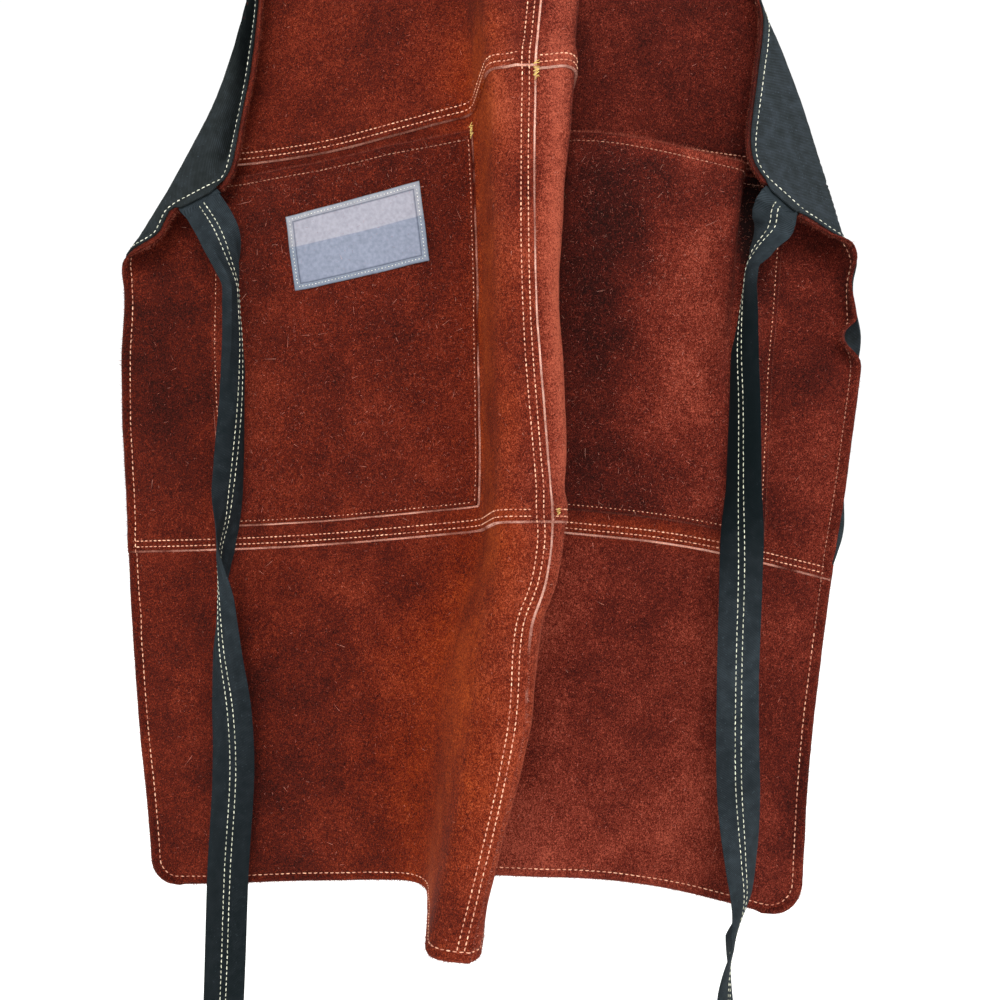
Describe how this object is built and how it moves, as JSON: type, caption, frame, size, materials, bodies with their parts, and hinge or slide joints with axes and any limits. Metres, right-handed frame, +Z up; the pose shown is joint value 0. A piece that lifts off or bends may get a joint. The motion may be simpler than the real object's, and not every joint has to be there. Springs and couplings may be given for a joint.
{
  "type": "leather grill apron",
  "caption": "Split-suede bib apron joined from panels with lapped seams, with patch pockets, a dark twill lining, waist ties and a neck strap; it hangs with a ridge down its middle.",
  "frame": {"origin": "underside of the neck strap at its top, where the apron hangs from a peg", "axes": "+X to the viewer's right facing the apron's front, +Y away from the viewer, +Z up"},
  "size_m": [0.5486, 0.1489, 1.4756],
  "materials": {
    "suede": "napped reddish-brown split suede",
    "lining_twill": "black cotton twill",
    "strap_twill": "black cotton twill, folded and stitched",
    "label": "woven grey-blue label, left blank"
  },
  "bodies": {
    "root": {"bib_left": "suede", "bib_right": "suede", "middle_left": "suede", "middle_right": "suede", "skirt_left": "suede", "skirt_right": "suede", "pocket_left": "suede", "pocket_right": "suede", "lining": "lining_twill", "label_patch": "label", "tie_left": "strap_twill", "tie_right": "strap_twill", "neck_strap": "strap_twill"}
  },
  "joints": []
}
